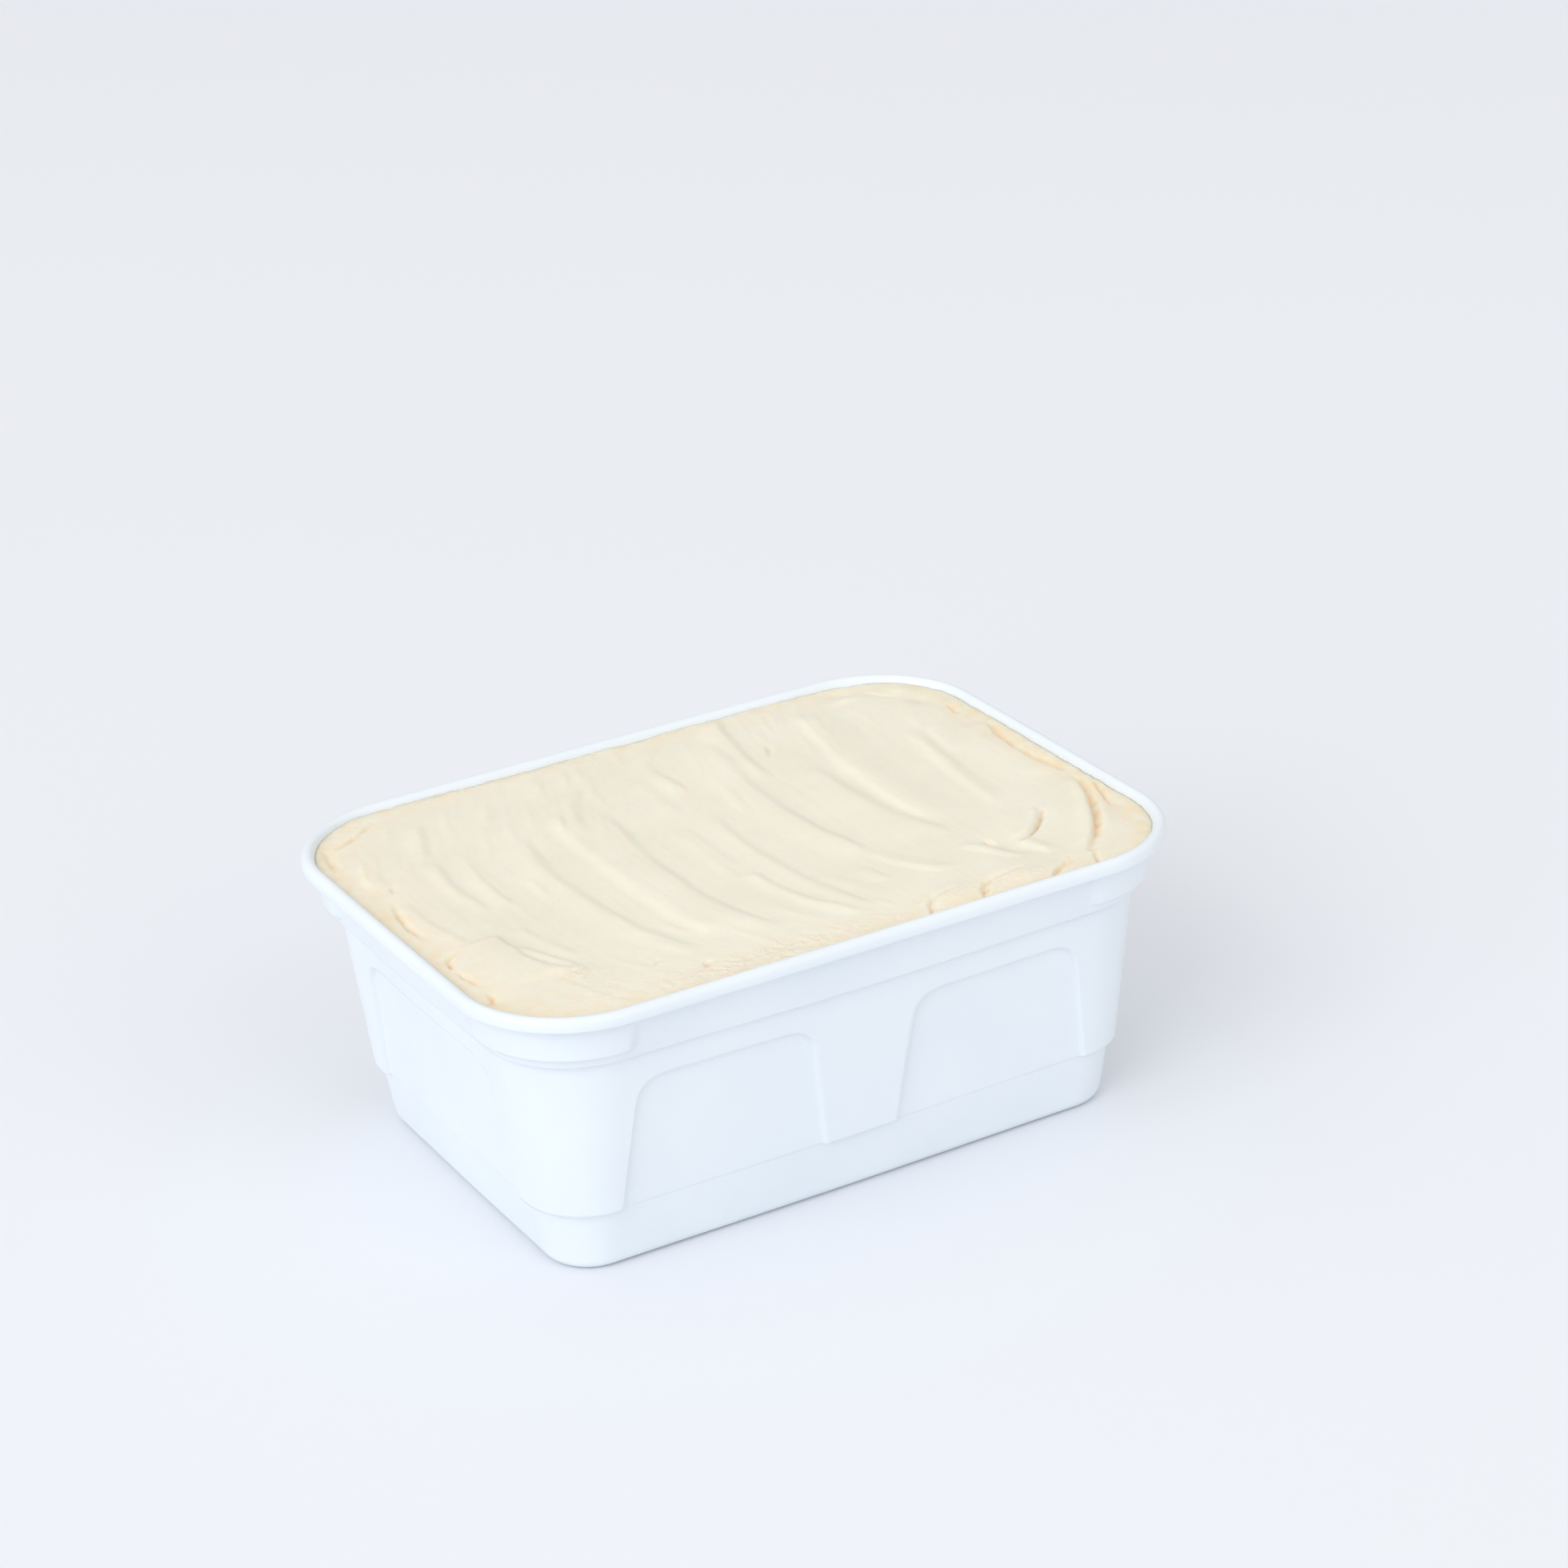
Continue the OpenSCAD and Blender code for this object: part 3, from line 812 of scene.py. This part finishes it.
def across(mark, x, y):
    # distance to the right of the mark's line, square to it
    place = (min(max(y, mark["front"]), mark["back"]) - mark["front"]) / cream["lineStep"]
    i = min(int(place), len(mark["places"]) - 2)
    a, b = mark["places"][i], mark["places"][i + 1]
    slope = (b - a) / cream["lineStep"]
    return (x - a - (b - a) * min(1.0, place - i)) / math.sqrt(1 + slope * slope)


def fall(t):
    # 1 on the line, eased to 0 at a width away
    return 0.0 if t >= 1 else (1 - t) ** 2 * (1 + 2 * t)


def ridgeHeight(mark, x, y):
    left, right = cream["widen"] * mark["left"], cream["widen"] * mark["right"]
    if y > mark["back"] or y < mark["front"]:
        return 0.0
    if x < mark["least"] - left - 1 or x > mark["most"] + right + 1:
        return 0.0
    seed = mark["seed"]
    d = across(mark, x + cream["waver"] * noise.noise((seed, y * 0.16, 0.5)), y)
    share = fall(-d / left) ** cream["leftFall"] if d < 0 else fall(d / right)
    if share <= 0:
        return 0.0
    fade = mark.get("fade", cream["fade"])
    ends = smooth((y - mark["front"]) / fade)
    if not mark.get("open"):
        ends *= smooth((mark["back"] - y) / fade)
    uneven = 1 + cream["uneven"] * 2 * noise.noise((seed + 3, y * 0.07, 1.5))
    return mark["height"] * share * ends * uneven


def cutDepth(mark, x, y):
    half, shape = mark["half"], cutShape
    if x < mark["least"] - 2 * half - 1 or x > mark["most"] + 2 * half + 1:
        return 0.0
    beyond = max(0.0, y - mark["back"], mark["front"] - y)
    if beyond > 2 * half:
        return 0.0
    d = across(mark, x + shape["waver"] * noise.noise((mark["seed"], x * 0.5, y * 0.5)), y)
    width = half * (shape["left"] if d < 0 else shape["right"])
    length = mark["back"] - mark["front"]
    along = (y - mark["front"]) / length
    taper = shape["endShare"] + (1 - shape["endShare"]) * smooth(min(along, 1 - along) * 3)
    wave = noise.noise((mark["seed"], y * 0.4 + x * 0.2, 2.9))
    uneven = shape["mean"] + shape["uneven"] * wave
    return mark["depth"] * taper * uneven * fall(math.hypot(d / width, beyond / half))


def hill(x, y, at, size):
    t = ((x - at[0]) / size[0]) ** 2 + ((y - at[1]) / size[1]) ** 2
    return math.exp(-t) if t < 8 else 0.0


def fromWall(x, y):
    # distance from the tub's wall at the ice cream's level
    dx, dy = max(0.0, abs(x) - longHalf), max(0.0, abs(y) - shortHalf)
    return min(
        tub["rimRadius"] - math.hypot(dx, dy), tub["halfY"] - abs(y), tub["halfX"] - abs(x)
    ) - cavityInset(cream["level"])


def sweep(y):
    if y < 0:
        return cream["sweepFront"] * (-y / tub["halfY"]) ** 2.6
    return cream["sweepBack"] * (y / tub["halfY"]) ** 2


def planPoint(u, v, inset, z):
    # grid place from -1 to 1 to a point on the plan; lines of even u follow the strokes
    halfY = tub["halfY"] - inset
    y = halfY * math.sin(math.radians(90 * v))
    r = tub["rimRadius"] - inset
    past = max(0.0, abs(y) - (halfY - r))
    halfX = tub["halfX"] - inset - r + math.sqrt(max(0.0, r * r - past * past))
    x = halfX * u + sweep(y) * (1 - u * u)
    return (
        x * (1 + bow(y, shortHalf, z) / halfX),
        y * (1 + bow(x, longHalf, z) / halfY),
    )


def creamSurface(x, y, s):
    # height of the top, its warm tone with the painted warm shade in the holes, and how icy it
    # is, at a place and stroke line s
    c = cream
    wall = max(0.0, fromWall(x, y))
    shore = smooth(wall / c["shore"])
    torn = min(1.0, sum(p["share"] * hill(x, y, p["at"], p["size"]) for p in tornPatches))
    z = c["level"] + c["crown"] * smooth(wall / c["crownRise"])
    z += c["swell"] * noise.noise((x * 0.035, y * 0.03, 4.2))
    z += shore * sum(ridgeHeight(r, x, y) for r in ridges)
    heaped = sum(h["height"] * hill(x, y, h["at"], h["size"]) for h in heaps)
    z += (c["heapAtWall"] + (1 - c["heapAtWall"]) * shore) * heaped
    deep = sum(cutDepth(cut, x, y) for cut in cuts)
    z -= deep
    streaks = noise.noise((s * 0.55, y * 0.02, 8.1))
    streaks += 0.6 * noise.noise((s * 1.3, y * 0.05, 2.7))
    z += shore * c["streak"] * streaks * (1 - torn)
    grain = noise.fractal((x * 0.75, y * 0.75, 3.3), 0.6, 2.0, 3)
    ragged = noise.noise((x * 0.3, y * 0.3, 6.6)) + 0.6 * noise.noise((x * 0.9, y * 0.9, 1.1))
    z += torn * c["tornRelief"] * grain
    z += (1 - shore) * c["wallRelief"] * ragged
    # tone warmer and darker towards the walls, the ends and the torn patches; painted warm
    # shade in the holes, by their depth
    warmAndShade = 0
    for name in ("wall", "margin"):
        share, reach = warmToneAndShade[name]
        warmAndShade += share * (1 - smooth(wall / reach))
    warmAndShade += warmToneAndShade["holeShade"] * deep + warmToneAndShade["torn"] * torn
    for name, way in (("leftEnd", -1), ("rightEnd", 1)):
        share, reach, begin = warmToneAndShade[name]
        warmAndShade += share * smooth((x - begin) * way / reach)
    return z, min(1.0, warmAndShade), torn


def makeIceCream(material):
    prepareMarks()
    c = cream
    bm = bmesh.new()
    bmesh.ops.create_grid(bm, x_segments=c["cellsX"], y_segments=c["cellsY"], size=1)
    warmthAndHoleShade = bm.verts.layers.float.new("warmthAndHoleShade")
    grain = bm.verts.layers.float.new("grain")
    inset = cavityInset(c["level"]) + c["gap"]
    gridPlace, atEdge = {}, 0.9999
    for v in bm.verts:
        u, w = v.co.x, v.co.y
        if max(abs(u), abs(w)) > atEdge:
            gridPlace[v] = (u, w)
        x, y = planPoint(u, w, inset, c["level"])
        z, v[warmthAndHoleShade], v[grain] = creamSurface(x, y, tub["halfX"] * u)
        v.co = (x, y, z)
    # closed down to the floor along the tub's wall
    start = next(v for v in gridPlace if max(gridPlace[v]) < -atEdge)
    loop = [start]
    edge = next(e for e in start.link_edges if e.other_vert(start) in gridPlace)
    while True:
        v = edge.other_vert(loop[-1])
        if v is start:
            break
        loop.append(v)
        edge = next(e for e in v.link_edges if e is not edge and e.is_boundary)
    places = [gridPlace[v] for v in loop]
    floorTop = tub["floor"] + tub["innerRadius"]
    levels = [(cavityInset(z), z) for z in
              (bandZ - tub["ledge"], panelTop, tub["stepZ"] - tub["ledge"])]
    for i in range(4):
        a = math.radians(90 * i / 3)
        levels.append((cavityInset(floorTop) + tub["innerRadius"] * (1 - math.cos(a)),
                       floorTop - tub["innerRadius"] * math.sin(a)))
    for inset, z in levels:
        loop = extrudeLoop(bm, loop)
        for v, (u, w) in zip(loop, places):
            x, y = planPoint(u, w, inset + c["gap"], z)
            v.co = (x, y, z)
    closeLoop(bm, loop)
    piece = finishPiece(bm, "strokedIceCream", material)
    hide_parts("ice_cream")
    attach(piece, "root")
    print("ice cream:", len(piece.data.polygons), "faces")
    return piece


makeTub(makePolypropylene())
makeIceCream(makeFrozenCream())


# Floor, light and camera
stage = {
    "floor": "#EDF0F5",
    "floorShade": "#EBEEF4",
    "floorDrift": 900,         # mm
    "floorRoughness": 0.9,
    "floorSize": 8.0,          # m
    "sky": "#FEFDFC",
    "brightest": (-0.32, -0.06, 0.94),   # direction in which the white room is brightest
    "skyStrength": (0.55, 0.972),        # square to that direction, and in it
}

# Softboxes: place (m), size (m), power (W), colour. The key stands to the left, the other one
# is a weak reflector in front.
softboxes = {
    "key": ((-4.8, -2.0, 3.3), 4.5, 135, "#FAFCFF"),
    "reflector": ((0.7, -3.1, 2.0), 2.4, 16, "#FBFCFF"),
}


def makeFloor():
    # Matt painted board: chalky, with a slow drift of tone
    material, tree, shader = newMaterial("mattPaintedBoard")
    place = addNode(tree, "ShaderNodeTexCoord").outputs["Object"]
    drift = addNode(tree, "ShaderNodeTexNoise", {
        "Vector": place, "Scale": perMetre(stage["floorDrift"]),
    })
    ramp = addNode(tree, "ShaderNodeValToRGB", {"Fac": drift.outputs["Fac"]})
    ramp.color_ramp.elements[0].color = linearColour(stage["floorShade"])
    ramp.color_ramp.elements[1].color = linearColour(stage["floor"])
    tree.links.new(ramp.outputs["Color"], shader.inputs["Base Color"])
    shader.inputs["Roughness"].default_value = stage["floorRoughness"]
    bm = bmesh.new()
    bmesh.ops.create_grid(bm, x_segments=2, y_segments=2, size=stage["floorSize"] / 2 / mm)
    floor = finishPiece(bm, "floor", material)


def makeLight():
    world = bpy.data.worlds.new("studio")
    bpy.context.scene.world = world
    world.use_nodes = True
    tree = world.node_tree
    sky = tree.nodes["Background"]
    sky.inputs["Color"].default_value = linearColour(stage["sky"])
    towards = addNode(tree, "ShaderNodeTexCoord").outputs["Generated"]
    facing = addNode(tree, "ShaderNodeVectorMath", {0: towards, 1: stage["brightest"]},
                     operation="DOT_PRODUCT")
    weakest, strongest = stage["skyStrength"]
    strength = addNode(tree, "ShaderNodeMapRange", {
        "Value": facing.outputs["Value"], "From Min": 0.0, "From Max": 1.0,
        "To Min": weakest, "To Max": strongest,
    })
    tree.links.new(strength.outputs["Result"], sky.inputs["Strength"])
    for name, (place, size, power, colour) in softboxes.items():
        lamp = bpy.data.lights.new(name, "AREA")
        lamp.size = size
        lamp.energy = power
        lamp.color = linearColour(colour)[:3]
        light = bpy.data.objects.new(name, lamp)
        bpy.context.collection.objects.link(light)
        light.location = place
        light.rotation_euler = Vector(place).to_track_quat("Z", "Y").to_euler()


view = {
    "turn": -29.3,             # degrees round the tub, from its front
    "tilt": 24.21,             # degrees down
    "roll": -2.88,
    "distance": 0.88592,       # m
    "aside": (-0.00829, 0.07166),   # m, across and up from the line to the origin
    "lens": 89.97,             # mm
    "sensor": 36,              # mm
}


def makeCamera():
    a, e, r = (math.radians(view[k]) for k in ("turn", "tilt", "roll"))
    back = Vector((math.sin(a) * math.cos(e), -math.cos(a) * math.cos(e), math.sin(e)))
    right = Vector((math.cos(a), math.sin(a), 0))
    up = back.cross(right)
    right, up = (math.cos(r) * right + math.sin(r) * up, math.cos(r) * up - math.sin(r) * right)
    data = bpy.data.cameras.new("camera")
    data.lens = view["lens"]
    data.sensor_width = view["sensor"]
    camera = bpy.data.objects.new("camera", data)
    bpy.context.collection.objects.link(camera)
    x, y = view["aside"]
    place = -x * right + y * up + view["distance"] * back
    turn = Matrix((right, up, back)).transposed().to_4x4()
    camera.matrix_world = Matrix.Translation(place) @ turn
    bpy.context.scene.camera = camera


makeFloor()
makeLight()
makeCamera()
bpy.context.scene.view_settings.view_transform = "Standard"
print("stage set")
